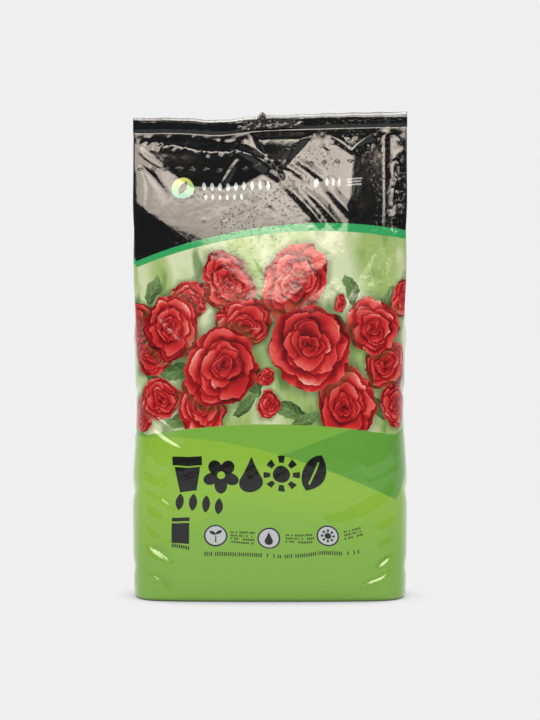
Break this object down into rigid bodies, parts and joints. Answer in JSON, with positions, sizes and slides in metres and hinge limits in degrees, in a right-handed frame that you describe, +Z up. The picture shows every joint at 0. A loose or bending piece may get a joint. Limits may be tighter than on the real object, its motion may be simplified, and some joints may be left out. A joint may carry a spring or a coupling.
{
  "type": "compost bag",
  "caption": "Filled film bag with side gussets, welded shut along the top and standing on its flattened base, with a printed front.",
  "frame": {"origin": "middle of the outline at the height of the base the bag stands on", "axes": "+Z up towards the top weld, front of the print at -Y, +X to the right seen from the front"},
  "size_m": [0.2076, 0.1012, 0.368],
  "materials": {
    "film": "gloss"
  },
  "bodies": {
    "root": {"compost_bag": "film"}
  },
  "joints": []
}
